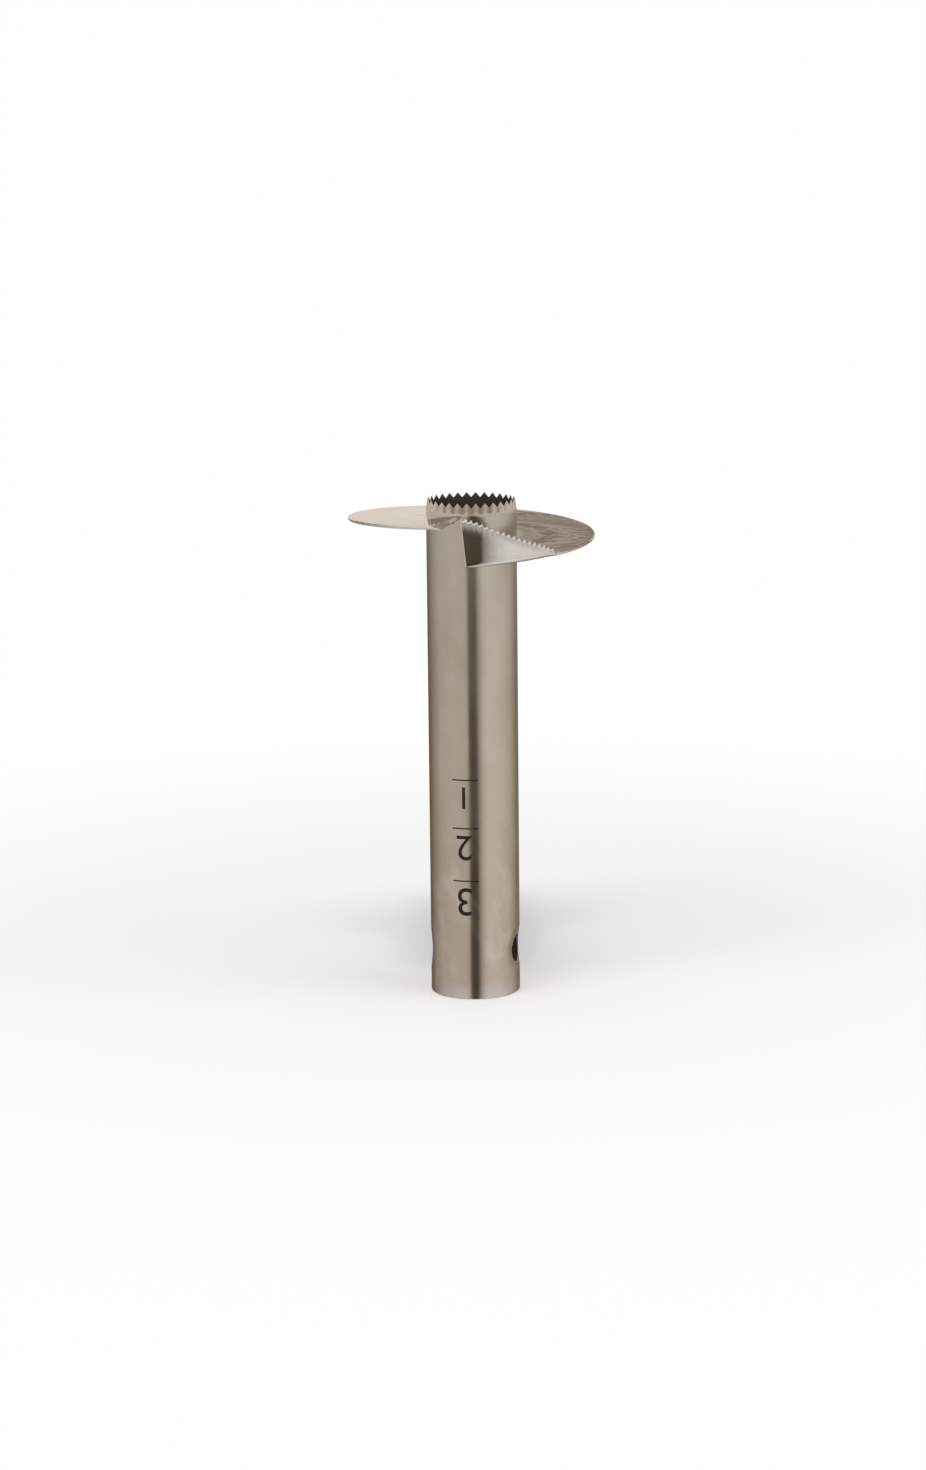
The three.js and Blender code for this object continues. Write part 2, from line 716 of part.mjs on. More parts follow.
// Both, moved so that the origin is under the middle of the whole set
const part = new THREE.Group();
part.add(slicer, handle);
part.position.y = -(handleSetback + gripLength / 2 - bladeRadius) / 2;

export default part;
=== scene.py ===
# Pineapple slicer: a stainless core tube with a one-turn spiral blade, standing on its open end,
# and the moulded T-handle that clips into that end, taken off and lying behind it. The frame is in
# metres, +Z up. A piece's own sizes are in millimetres, until settle puts it in its place.
from math import atan2, ceil, copysign, cos, degrees, floor, hypot, pi, radians, sin, tau

import bmesh
import bpy
from mathutils import Matrix, Vector


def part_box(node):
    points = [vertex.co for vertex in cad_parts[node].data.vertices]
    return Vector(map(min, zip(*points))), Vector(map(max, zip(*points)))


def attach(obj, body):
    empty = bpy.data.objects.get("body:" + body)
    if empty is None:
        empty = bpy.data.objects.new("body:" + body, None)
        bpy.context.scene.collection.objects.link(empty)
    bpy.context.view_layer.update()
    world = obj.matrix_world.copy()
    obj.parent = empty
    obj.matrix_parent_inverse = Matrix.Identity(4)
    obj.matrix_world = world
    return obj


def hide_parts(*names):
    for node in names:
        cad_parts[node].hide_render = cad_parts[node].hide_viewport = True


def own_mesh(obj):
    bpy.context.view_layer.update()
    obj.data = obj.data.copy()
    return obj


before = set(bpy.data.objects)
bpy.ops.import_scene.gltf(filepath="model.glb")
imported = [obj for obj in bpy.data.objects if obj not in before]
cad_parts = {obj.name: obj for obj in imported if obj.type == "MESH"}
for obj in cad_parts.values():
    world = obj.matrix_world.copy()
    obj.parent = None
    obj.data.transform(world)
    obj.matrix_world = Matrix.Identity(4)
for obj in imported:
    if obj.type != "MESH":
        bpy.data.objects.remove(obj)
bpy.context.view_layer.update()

# Camera. It stands a little above the blade, as the photograph was taken, and looks slightly down
# on the tube's whole length with a short telephoto lens.
mm = 0.001
scene = bpy.context.scene
image_height_px = 1470
focal_px = 3500
tube_low, tube_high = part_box("core_tube")
tube_x = (tube_low.x + tube_high.x) / 2
tube_y = (tube_low.y + tube_high.y) / 2
camera_distance = 1240 * mm
camera_height = 349.4 * mm
camera_pan = radians(-0.1748)
camera_tilt = radians(11.61)
camera_roll = radians(-0.5927)

lens = bpy.data.cameras.new("camera")
lens.sensor_width = 36
lens.lens = lens.sensor_width * focal_px / image_height_px
camera = bpy.data.objects.new("camera", lens)
scene.collection.objects.link(camera)
facing = Matrix.Rotation(-camera_pan, 4, "Z") @ Matrix.Rotation(pi / 2 - camera_tilt, 4, "X")
stand = Matrix.Translation((tube_x, tube_y - camera_distance, camera_height))
camera.matrix_world = stand @ facing @ Matrix.Rotation(camera_roll, 4, "Z")
scene.camera = camera
scene.view_settings.view_transform = "Standard"

# Studio. White all round for the camera. Steel mirrors pale panels, with a dark gap between them
# where the camera stands: it shows that gap as the dark stripe down its front.
soft_level = 0.6
# what polished steel mirrors below the horizon, by degrees round from the camera
level_round = {
    -180: "#8f867e",
    -150: "#70675f",
    -142: "#8a8178",
    -120: "#aca69f",
    -95: "#d0cbc6",
    -55: "#dbd6d1",
    -22: "#d6d0ca",
    -15: "#d2cbc3",
    -10.5: "#51473d",
    8.6: "#4b4136",
    11.3: "#968d82",
    17: "#c0bab3",
    25: "#e0dedb",
    36: "#eeecea",
    62: "#edeae7",
    90: "#e0dbd5",
    112: "#cbc4bc",
    140: "#938b83",
    180: "#8f867e",
}
# what it mirrors above the horizon, by height, from 0 straight down to 1 straight up
level_above = {
    0: "#e6dbcf",
    0.56: "#e6dbcf",
    0.585: "#c9bcb0",
    0.6: "#6d5c50",
    0.615: "#b2a398",
    0.634: "#86776b",
    0.65: "#b9aca1",
    0.668: "#7c6c61",
    0.684: "#b4a79c",
    0.702: "#998b80",
    0.72: "#b9ada2",
    0.78: "#ece7e2",
    1: "#fbfaf8",
}
# how the floor warms what it mirrors below the horizon, by the same height
floor_warmth = {0.3: "#ffffff", 0.35: "#f0e7db", 0.416: "#f0e7db", 0.424: "#ffffff"}
# the gap pales upwards to a grey card, which only the top of the flap mirrors
card_grey = "#c6c1ba"
card_starts = -0.143
card_full = -0.075
horizon_low = -0.05
horizon_high = -0.01


def linear(hex_colour):
    channels = [int(hex_colour[i : i + 2], 16) / 255 for i in (1, 3, 5)]
    return [c / 12.92 if c <= 0.04045 else ((c + 0.055) / 1.055) ** 2.4 for c in channels]


# Adds a node, sets it up and links it, and gives back its outputs or one of them. A mix of colours
# takes its share at 0 and the colours at 6 and 7, and gives its own colour at 2.
def add(tree, kind, inputs=None, out=0, stops=(), **settings):
    node = tree.nodes.new("ShaderNode" + kind)
    for key, value in settings.items():
        setattr(node, key, value)
    for key, value in (inputs or {}).items():
        if isinstance(value, bpy.types.NodeSocket):
            tree.links.new(value, node.inputs[key])
        elif isinstance(value, str):
            node.inputs[key].default_value = (*linear(value), 1)
        else:
            node.inputs[key].default_value = value
    for i, (place, colour) in enumerate(stops):
        elements = node.color_ramp.elements
        stop = elements[i] if i < len(elements) else elements.new(place)
        stop.position = place
        stop.color = (*linear(colour), 1)
    return node.outputs if out is None else node.outputs[out]


world = bpy.data.worlds.new("studio")
scene.world = world
world.use_nodes = True
tree = world.node_tree
tree.nodes.clear()
direction = add(tree, "TexCoord", out="Generated")
way = add(tree, "SeparateXYZ", {"Vector": direction}, out=None)
backward = add(tree, "Math", {0: way["Y"], 1: -1}, operation="MULTIPLY")
turn = add(tree, "Math", {0: way["X"], 1: backward}, operation="ARCTAN2")
# 0 behind the object, a half towards the camera, and round to 1 behind it again
round_share = add(tree, "Math", {0: turn, 1: 1 / tau, 2: 0.5}, operation="MULTIPLY_ADD")
round_stops = [(angle / 360 + 0.5, colour) for angle, colour in level_round.items()]
level = add(tree, "ValToRGB", {"Fac": round_share}, stops=round_stops)
rise = add(tree, "Math", {0: way["Z"], 1: 0.5, 2: 0.5}, operation="MULTIPLY_ADD")
warm = add(tree, "ValToRGB", {"Fac": rise}, stops=floor_warmth.items())
level = add(tree, "VectorMath", {0: level, 1: warm}, operation="MULTIPLY")
card = add(tree, "MapRange", {"Value": way["Z"], "From Min": card_starts, "From Max": card_full})
level = add(tree, "Mix", {0: card, 6: level, 7: card_grey}, out=2, data_type="RGBA")
high = add(tree, "ValToRGB", {"Fac": rise}, stops=level_above.items())
horizon = {"Value": way["Z"], "From Min": horizon_low, "From Max": horizon_high}
above = add(tree, "MapRange", horizon)
mirrored = add(tree, "Mix", {0: above, 6: level, 7: high}, out=2, data_type="RGBA")
ray = add(tree, "LightPath", out=None)
seen = add(tree, "Background", {"Color": "#ffffff"})
soft = add(tree, "Background", {"Color": "#ffffff", "Strength": soft_level})
panels = add(tree, "Background", {"Color": mirrored})
glossy = {0: ray["Is Glossy Ray"], 1: ray["Is Transmission Ray"]}
in_gloss = add(tree, "Math", glossy, operation="MAXIMUM")
lit = add(tree, "MixShader", {0: in_gloss, 1: soft, 2: panels})
whole = add(tree, "MixShader", {0: ray["Is Camera Ray"], 1: lit, 2: seen})
add(tree, "OutputWorld", {"Surface": whole}, out=None)

# The sweep: matt white paper, lifted to pure white for the camera outside the object's own soft
# shadow, and the two softboxes that stand over it.
sweep_size = 8
paper_white = "#f1f1f1"
shadow_radius = 0.15
white_radius = 0.42
shadow_lift = 0.2
lamp_aim = Vector((0, 0, 80 * mm))
lamp_size = 0.9
softboxes = {
    "key_softbox": (Vector((-0.75, -0.85, 1.15)), 5.5),
    "fill_softbox": (Vector((0.95, -0.45, 0.95)), 3.5),
}


def new_finish(name):
    finish = bpy.data.materials.new(name)
    finish.use_nodes = True
    finish.node_tree.nodes.clear()
    spot = add(finish.node_tree, "TexCoord", out="Object")
    return finish, finish.node_tree, spot


# makes an object of a shape, and uses the shape up
def set_down(name, shape):
    mesh = bpy.data.meshes.new(name)
    shape.to_mesh(mesh)
    shape.free()
    made = bpy.data.objects.new(name, mesh)
    scene.collection.objects.link(made)
    return made


sweep_paper, tree, spot = new_finish("sweep_matt_paper")
reach = add(tree, "VectorMath", {0: spot}, out="Value", operation="LENGTH")
shadow_span = {"Value": reach, "From Min": shadow_radius, "From Max": white_radius}
outside = add(tree, "MapRange", shadow_span, interpolation_type="SMOOTHSTEP")
for_camera = add(tree, "LightPath", out="Is Camera Ray")
lift = add(tree, "Math", {0: for_camera, 1: shadow_lift}, operation="MULTIPLY")
matt = add(tree, "BsdfDiffuse", {"Color": paper_white})
glow = add(tree, "Emission", {"Color": "#ffffff", "Strength": lift})
near = add(tree, "AddShader", {0: matt, 1: glow})
far = add(tree, "Emission", {"Color": "#ffffff"})
far_share = add(tree, "Math", {0: outside, 1: for_camera}, operation="MULTIPLY")
paper = add(tree, "MixShader", {0: far_share, 1: near, 2: far})
add(tree, "OutputMaterial", {"Surface": paper}, out=None)

sweep_shape = bmesh.new()
bmesh.ops.create_grid(sweep_shape, x_segments=1, y_segments=1, size=sweep_size / 2)
sweep = set_down("sweep", sweep_shape)
sweep.data.materials.append(sweep_paper)
sweep.visible_glossy = False

for name, (place, power) in softboxes.items():
    light = bpy.data.lights.new(name, "AREA")
    light.size = lamp_size
    light.energy = power
    softbox = bpy.data.objects.new(name, light)
    aim = (lamp_aim - place).to_track_quat("-Z", "Y")
    softbox.matrix_world = Matrix.Translation(place) @ aim.to_matrix().to_4x4()
    scene.collection.objects.link(softbox)
    softbox.visible_camera = False
    softbox.visible_glossy = False

# Core tube: 32 mm drawn stainless tube with a 0.8 mm wall. Its upper rim is cut into teeth and
# ground from outside. Near the lower end two windows are punched, each in a shallow pressed dish.
tube_radius = 16.2
tube_bore = 15.4
tube_length = 181
tube_steps = 300
edge_round = 0.35
round_steps = 3
plain_rows = [40, 70, 100, 130, 160, 176]
grind_start = 177
grind_rows = 4
rim_edge_wall = 0.25
rim_teeth = 30
rim_tooth_depth = 1.8
window_radius = 5
window_height = 16
window_turn = -14
dish_radius = 9.4
dish_depth = 0.55
dish_row = 0.6
punch_sides = 72
punch_reach = 20
burr_round = 0.14
burr_turn = radians(50)
burr_near = 0.03


def dish_at(angle, height):
    turns = (window_turn, window_turn + 180)
    turned_by = min(abs((angle - turn + 540) % 360 - 180) for turn in turns)
    from_middle = hypot(height - window_height, radians(turned_by) * tube_radius)
    share = (dish_radius - from_middle) / (dish_radius - window_radius)
    return dish_depth * (1 - cos(pi * min(1, max(0, share)))) / 2


def settle(shape, middle):
    place = Matrix.Translation(middle) @ Matrix.Scale(mm, 4)
    bmesh.ops.transform(shape, matrix=place, verts=shape.verts)


def spun(profile, steps, closed=True):
    shape = bmesh.new()
    points = [shape.verts.new((r, 0, z)) for r, z in profile]
    pairs = zip(points, points[1:] + points[:1]) if closed else zip(points, points[1:])
    lines = [shape.edges.new(pair) for pair in pairs]
    bmesh.ops.spin(
        shape,
        geom=points + lines,
        axis=(0, 0, 1),
        cent=(0, 0, 0),
        dvec=(0, 0, 0),
        angle=tau,
        steps=steps,
        use_merge=True,
    )
    bmesh.ops.remove_doubles(shape, verts=shape.verts, dist=1e-4)
    bmesh.ops.recalc_face_normals(shape, faces=shape.faces)
    return shape


def rod(radius, start, end, sides):
    run = Vector(end) - Vector(start)
    shape = bmesh.new()
    turn = run.to_track_quat("Z", "Y").to_matrix().to_4x4()
    middle = Matrix.Translation((Vector(start) + Vector(end)) / 2)
    bmesh.ops.create_cone(
        shape,
        cap_ends=True,
        segments=sides,
        radius1=radius,
        radius2=radius,
        depth=run.length,
        matrix=middle @ turn,
    )
    return shape


# uses up the shape and the tool, and gives back what is left
def carve(shape, tool, operation="DIFFERENCE"):
    blanks = [set_down("blank", shape), set_down("blank", tool)]
    cut = blanks[0].modifiers.new("cut", "BOOLEAN")
    cut.operation = operation
    cut.object = blanks[1]
    cut.solver = "EXACT"
    result = bmesh.new()
    result.from_object(blanks[0], bpy.context.evaluated_depsgraph_get())
    for blank in blanks:
        bpy.data.objects.remove(blank)
    return result


def piece(name, shape, finish, crease=35):
    for face in shape.faces:
        face.smooth = True
    for edge in shape.edges:
        edge.smooth = edge.calc_face_angle(0) < radians(crease)
    made = set_down(name, shape)
    made.data.materials.append(finish)
    return made


outer_round = []
for i in range(round_steps + 1):
    bent = pi / 2 * i / round_steps
    outer_round.append(
        (tube_radius - edge_round + edge_round * sin(bent), edge_round - edge_round * cos(bent))
    )
dish_low = window_height - dish_radius
dish_high = window_height + dish_radius
dish_rows = [dish_low + dish_row * i for i in range(1, ceil(2 * dish_radius / dish_row))]
walls = [dish_low, *dish_rows, dish_high, *plain_rows]
grind_length = tube_length - grind_start
ground = [grind_start + grind_length * i / grind_rows for i in range(grind_rows + 1)]
grind_slope = (tube_radius - tube_bore - rim_edge_wall) / grind_length
tube_profile = [
    *outer_round,
    *[(tube_radius, z) for z in walls],
    *[(tube_radius - grind_slope * (z - grind_start), z) for z in ground],
    *[(tube_bore, z) for z in reversed(ground)],
    *[(tube_bore, z) for z in reversed(walls)],
    (tube_bore, edge_round / 2),
    (tube_bore + edge_round / 2, 0),
]
tube_shape = spun(tube_profile, tube_steps)
half_tooth = 180 / rim_teeth
for vertex in tube_shape.verts:
    angle = degrees(atan2(vertex.co.y, vertex.co.x))
    pull = 1 - dish_at(angle, vertex.co.z) / vertex.co.xy.length
    vertex.co.x *= pull
    vertex.co.y *= pull
    fall = 1 - abs(angle % (2 * half_tooth) - half_tooth) / half_tooth
    vertex.co.z -= rim_tooth_depth * fall * max(0, vertex.co.z - grind_start) / grind_length
punch_way = Vector((cos(radians(window_turn)), sin(radians(window_turn)), 0))
window_middle = Vector((0, 0, window_height))
punch_from = window_middle - punch_way * punch_reach
punch_to = window_middle + punch_way * punch_reach
tube_shape = carve(tube_shape, rod(window_radius, punch_from, punch_to, punch_sides))


def at_window(vertex):
    offset = vertex.co - window_middle
    return abs((offset - punch_way * offset.dot(punch_way)).length - window_radius) < burr_near


window_edges = [
    edge
    for edge in tube_shape.edges
    if all(at_window(vertex) for vertex in edge.verts) and edge.calc_face_angle(0) > burr_turn
]
bmesh.ops.bevel(
    tube_shape,
    geom=window_edges,
    offset=burr_round,
    offset_type="OFFSET",
    segments=2,
    profile=0.5,
    affect="EDGES",
    clamp_overlap=False,
    material=-1,
)
settle(tube_shape, (tube_x, tube_y, 0))

# Drawn stainless steel, belt-polished outside: a soft mirror, with hairlines along its length, a
# faint cloudiness, and slanting smudges where it has been wiped. The bore is left unpolished, so
# duller, and its colour is painted darker, as painted shade inside the tube.
# the steel's colour, made darker and warmer than the blade's: painted shade and painted warm
# reflection on the upright tube
tube_steel_and_painted_shade_colour = "#d3cdc6"
cloud_colour = "#c9c2b9"
smudge_colour = "#e3e0dc"
# painted shade inside the tube, darker than the steel itself
bore_painted_shade_colour = "#7d766f"
hairline_size = (0.45, 0.45, 30)
hairline_depth = 0.004
cloud_size = (14, 14, 35)
smudge_size = (7.333, 7.333, 15.714)
smudge_slant = radians(28)
smudge_from = 0.46
smudge_full = 0.72
smudge_blur = 0.07
# the smudges thin out between half this height and all of it
wiped_below = 75 * mm
smudged_low = 0.75
smudged_high = 0.2
bore_dullness = 0.32
wall_middle = (tube_bore + tube_radius - dish_depth) / 2 * mm
wall_fade = 0.05 * mm
# most of a noise lies in this range
most_of_noise = {"From Min": 0.3, "From Max": 0.7}


def reach_from_tube(tree, spot):
    axis = (tube_x, tube_y, 0)
    from_axis = add(tree, "VectorMath", {0: spot, 1: axis}, operation="SUBTRACT")
    flat = add(tree, "VectorMath", {0: from_axis, 1: (1, 1, 0)}, operation="MULTIPLY")
    return add(tree, "VectorMath", {0: flat}, out="Value", operation="LENGTH")


drawn_steel, tree, spot = new_finish("drawn_polished_stainless")
patterns = []
for size, slant, detail in (
    (hairline_size, 0, 3),
    (cloud_size, 0, 3),
    (smudge_size, -smudge_slant, 2.5),
):
    lie = {"Vector": spot, "Rotation": (0, slant, 0), "Scale": Vector(size) * mm}
    laid = add(tree, "Mapping", lie, vector_type="TEXTURE")
    grain = {"Vector": laid, "Scale": 1, "Detail": detail}
    patterns.append(add(tree, "TexNoise", grain))
hairlines, clouds, smudges = patterns
smudge_span = {"Value": smudges, "From Min": smudge_from, "From Max": smudge_full}
smudged = add(tree, "MapRange", smudge_span)
up = add(tree, "SeparateXYZ", {"Vector": spot}, out="Z")
wiped_span = {"From Min": wiped_below / 2, "From Max": wiped_below}
wiped_share = {"To Min": smudged_low, "To Max": smudged_high}
wiped = add(tree, "MapRange", {"Value": up, **wiped_span, **wiped_share})
smudged = add(tree, "Math", {0: smudged, 1: wiped}, operation="MULTIPLY")
wall_span = {"From Min": wall_middle + wall_fade, "From Max": wall_middle - wall_fade}
in_bore = add(tree, "MapRange", {"Value": reach_from_tube(tree, spot), **wall_span})
polish = {"Value": clouds, **most_of_noise, "To Min": 0.15, "To Max": 0.21}
roughness = add(tree, "MapRange", polish)
for share, dullness in ((smudged, smudge_blur), (in_bore, bore_dullness)):
    duller = {0: share, 1: dullness, 2: roughness}
    roughness = add(tree, "Math", duller, operation="MULTIPLY_ADD")
colour = tube_steel_and_painted_shade_colour
cloudy = add(tree, "MapRange", {"Value": clouds, **most_of_noise})
# the bore's tint is painted shade; the cloud and smudge tints are the steel's own
for share, tint in ((cloudy, cloud_colour), (smudged, smudge_colour), (in_bore, bore_painted_shade_colour)):
    colour = add(tree, "Mix", {0: share, 6: colour, 7: tint}, out=2, data_type="RGBA")
bump = add(tree, "Bump", {"Height": hairlines, "Strength": 0.25, "Distance": hairline_depth * mm})
steel_look = {"Base Color": colour, "Metallic": 1, "Roughness": roughness, "Normal": bump}
steel = add(tree, "BsdfPrincipled", steel_look)
add(tree, "OutputMaterial", {"Surface": steel}, out=None)

tube = piece("core_tube_steel", tube_shape, drawn_steel)
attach(tube, "slicer")
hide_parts("core_tube")

# Etched scale: plain numerals and lines burned dark into the tube with a laser. It reads the
# right way up when the tool is held by its handle, so here it stands on its head.
mark_turn = 256.7
mark_proud = 0.02
mark_depth = 0.05
slice_width = 0.7
line_width = 0.48
line_slices = 24
line_turns = (241.2, 275.4)
line_heights = (81.3, 63.5, 44.1)
numerals = (("1", 75.2, 11.6), ("2", 56.9, 13.1), ("3", 37, 14.7))


# cuts a shape's faces upright at each place across it, so that they can bend
def slice_up(shape, places):
    for place in places:
        every = shape.verts[:] + shape.edges[:] + shape.faces[:]
        across = (place, 0, 0)
        bmesh.ops.bisect_plane(shape, geom=every, plane_co=across, plane_no=(1, 0, 0), dist=1e-5)


etched = bmesh.new()
line_run = radians(line_turns[1] - line_turns[0]) * tube_radius
line_middle = radians((line_turns[0] + line_turns[1]) / 2 - mark_turn) * tube_radius
for line_height in line_heights:
    line = bmesh.ops.create_grid(etched, x_segments=line_slices, y_segments=1, size=0.5)["verts"]
    for vertex in line:
        across = vertex.co.x * line_run + line_middle
        vertex.co = (across, vertex.co.y * line_width + line_height, 0)
for text, height, size in numerals:
    numeral = bpy.data.curves.new("numeral", "FONT")
    numeral.body = text
    numeral.size = size
    numeral.align_x = "CENTER"
    numeral.align_y = "CENTER"
    holder = bpy.data.objects.new("numeral", numeral)
    scene.collection.objects.link(holder)
    laid_out = holder.evaluated_get(bpy.context.evaluated_depsgraph_get())
    flat_numeral = bpy.data.meshes.new_from_object(laid_out)
    upside_down = Matrix.Translation((0, height, 0)) @ Matrix.Rotation(pi, 4, "Z")
    flat_numeral.transform(upside_down)
    etched.from_mesh(flat_numeral)
    bpy.data.objects.remove(holder)
widest = max(abs(vertex.co.x) for vertex in etched.verts)
slices = range(floor(-widest / slice_width), ceil(widest / slice_width))
slice_up(etched, [i * slice_width for i in slices])
for vertex in etched.verts:
    angle = radians(mark_turn) + vertex.co.x / tube_radius
    out = tube_radius + mark_proud
    vertex.co = (out * cos(angle), out * sin(angle), vertex.co.y)
bmesh.ops.remove_doubles(etched, verts=etched.verts, dist=1e-3)
bmesh.ops.solidify(etched, geom=etched.faces[:], thickness=mark_depth)
settle(etched, (tube_x, tube_y, 0))

# Laser-annealed steel: a brown-black oxide, duller than the steel round it and slightly patchy.
patch_size = 0.8


# a skin whose colour and dullness both drift with one pattern
def uneven_skin(tree, pattern, colours, dullness, look, spread=most_of_noise):
    share = add(tree, "MapRange", {"Value": pattern, **spread})
    tint = {0: share, 6: colours[0], 7: colours[1]}
    polish = {"Value": pattern, **most_of_noise, "To Min": dullness[0], "To Max": dullness[1]}
    skin = {
        "Base Color": add(tree, "Mix", tint, out=2, data_type="RGBA"),
        "Roughness": add(tree, "MapRange", polish),
        **look,
    }
    shader = add(tree, "BsdfPrincipled", skin)
    add(tree, "OutputMaterial", {"Surface": shader}, out=None)


laser_mark, tree, spot = new_finish("laser_annealed_mark")
patches = add(tree, "TexNoise", {"Vector": spot, "Scale": 1 / (patch_size * mm)})
uneven_skin(tree, patches, ("#1c1510", "#33281e"), dullness=(0.4, 0.55), look={"Metallic": 0.4})

scale_marks = piece("etched_scale", etched, laser_mark)
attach(scale_marks, "slicer")

# Spiral blade: 1 mm stainless sheet, cut as a slit ring, pulled into a little under one turn of
# a screw and polished. Its rim is bent up at the low end, and saw teeth are ground along that flap.
blade_bore = tube_radius + 0.03
blade_radius = 44
sheet_thickness = 1
blade_start = 266.8
blade_turn = 349.2
blade_low = tube_length - 18.8
blade_rise = 13.5
climb_share = 0.5
edge_grind = 4
edge_thickness = 0.2
edge_steps = 4
flap_height = 18.5
flap_end_height = 2.7
corner_drop = 0.7
corner_teeth = 3
flap_lean = 2.6
flap_margin = 0.6
tooth_count = 19
tooth_pitch = 2.433
tooth_depth = 1.4
tooth_rise_share = 0.8
tooth_hollow = 1.3
root_ground = 0.45
ground_follow = 0.3
ground_slope = 0.5
corner_cut = 0.65
corner_shares = (0, 0.08, 0.25, 0.55)
roll_height = 2.9
roll_depth = 0.055
bend_radius = 1.8
bend_share = 0.8
rim_round = 0.3
rim_ground = 0.3
flat_rows = 22
bend_rows = 6
wall_rows = 16
ground_rows = 3
blade_rows = flat_rows + bend_rows + wall_rows + ground_rows
rise_steps = 5
plain_step = 1.5
run_out_turn = 2.4
run_out_steps = 6
free_edge_width = 0.6
free_edge_depth = 0.35


def blade_underside(angle):
    share = (angle - blade_start) / blade_turn
    return blade_low + blade_rise * (share + climb_share * share * (1 - share))


def flap_reach(place):
    share = place / (tooth_count - 1)
    corner = max(0, 1 - place / corner_teeth)
    return flap_height + (flap_end_height - flap_height) * share - corner_drop * corner * corner


# how far the outside is rounded off towards the flap's free upright edge
def eased_by(angle):
    near = max(0, 1 - radians(angle - blade_start) * blade_radius / free_edge_width)
    return free_edge_depth * (1 - (1 - near * near) ** 0.5)


# one side of the sheet from the bore out: flat, bent, upright, and ground on the outside
def section(height, ground, bend, thickness, upper):
    rise, inset = (thickness, sheet_thickness) if upper else (0, 0)
    curve = max(0, bend - inset)
    wall = blade_radius - inset
    foot = wall - curve
    wall_start = rise + curve
    ground_start = max(wall_start, height - ground)
    slope = 0 if upper else ground_slope
    line = [(blade_bore + (foot - blade_bore) * k / flat_rows, rise) for k in range(flat_rows)]
    for k in range(bend_rows):
        bent = pi / 2 * k / bend_rows
        line.append((foot + curve * sin(bent), rise + curve * (1 - cos(bent))))
    # the rows crowd towards the bend and the teeth, and the outside rolls in a little below these
    roll_start = max(wall_start, ground_start - roll_height)
    rolled = 0
    for k in range(wall_rows):
        top = wall_start + (ground_start - wall_start) * (1 - cos(pi * k / wall_rows)) / 2
        rolled = 0 if upper else roll_depth * (max(0, top - roll_start) / roll_height) ** 2
        line.append((wall - rolled, top))
    for k in range(ground_rows + 1):
        top = ground_start + (height - ground_start) * k / ground_rows
        line.append((wall - rolled - slope * (top - ground_start), top))
    return line


# each station: its angle, the sheet's height, how deep it is ground, its bend and its thickness
def flap_station(angle, height, root):
    ground = root_ground + (height - root) * (1 - ground_follow)
    place = max(0, (angle - blade_start - flap_margin) / tooth_pitch)
    bend = min(bend_radius, bend_share * (flap_reach(place) - tooth_depth))
    return angle, height, ground, bend, sheet_thickness


stations = []
first_root = flap_reach(1 - tooth_rise_share) - tooth_depth
for share in corner_shares:
    height = flap_reach(0) - corner_cut * (1 - share)
    stations.append(flap_station(blade_start + flap_margin * share, height, first_root))
fall = tooth_pitch * (1 - tooth_rise_share)
for i in range(tooth_count):
    tip = blade_start + flap_margin + tooth_pitch * i
    root = flap_reach(i + 1 - tooth_rise_share) - tooth_depth
    stations.append(flap_station(tip, flap_reach(i), root))
    stations.append(flap_station(tip + fall / 2, (flap_reach(i) + root) / 2, root))
    next_height = flap_reach(i + 1) if i + 1 < tooth_count else root
    for k in range(rise_steps):
        share = k / rise_steps
        height = root + (next_height - root) * share**tooth_hollow
        stations.append(flap_station(tip + fall + (tooth_pitch - fall) * share, height, root))
flap_end = blade_start + flap_margin + tooth_pitch * tooth_count
run_out_bend = flap_station(flap_end, root, root)[3]
for k in range(run_out_steps + 1):
    share = (1 - cos(pi * k / run_out_steps)) / 2
    height = sheet_thickness + max(0, root - sheet_thickness) * (1 - share) ** 3
    bend = run_out_bend + (rim_round - run_out_bend) * share
    angle = flap_end + run_out_turn * k / run_out_steps
    stations.append((angle, height, rim_ground, bend, sheet_thickness))
plain_start = flap_end + run_out_turn
grind_angle = blade_start + blade_turn - edge_grind
plain_steps = ceil((grind_angle - plain_start) / plain_step)
for k in range(1, plain_steps + 1):
    angle = plain_start + (grind_angle - plain_start) * k / plain_steps
    stations.append((angle, sheet_thickness, rim_ground, rim_round, sheet_thickness))
for k in range(1, edge_steps + 1):
    share = k / edge_steps
    thin = sheet_thickness + (edge_thickness - sheet_thickness) * share
    angle = grind_angle + edge_grind * share
    stations.append((angle, thin, rim_ground * thin, rim_round * thin, thin))

blade_shape = bmesh.new()
last = len(stations) - 1
for upper in (False, True):
    grid = bmesh.ops.create_grid(blade_shape, x_segments=last, y_segments=blade_rows, size=1)
    sections = [section(*station[1:], upper) for station in stations]
    for vertex in grid["verts"]:
        i = round((vertex.co.x + 1) / 2 * last)
        radius, rise = sections[i][round((vertex.co.y + 1) / 2 * blade_rows)]
        angle = stations[i][0]
        if not upper:
            radius -= eased_by(angle) * min(1, rise / bend_radius)
        turn = radians(angle - flap_lean * max(0, rise - sheet_thickness) / flap_height)
        vertex.co = (radius * cos(turn), radius * sin(turn), blade_underside(angle) + rise)
open_edges = [edge for edge in blade_shape.edges if edge.is_boundary]
bmesh.ops.bridge_loops(blade_shape, edges=open_edges)
bmesh.ops.remove_doubles(blade_shape, verts=blade_shape.verts, dist=1e-3)
bmesh.ops.recalc_face_normals(blade_shape, faces=blade_shape.faces)
settle(blade_shape, (tube_x, tube_y, 0))

# Mirror-polished stainless sheet: paler than the tube, whose colour carries painted shade, and
# slightly wavy from being pulled into its screw, so that what it mirrors breaks into long ripples.
ripple_size = 3
ripple_depth = 0.055
fleck_size = 0.9
fleck_spread = {"From Min": 0.35, "From Max": 0.75}
# the flap is stiffened by its bend, so the ripples fade out before it
stiff_span = {"From Min": 41.5 * mm, "From Max": 43 * mm, "To Min": 1, "To Max": 0.06}

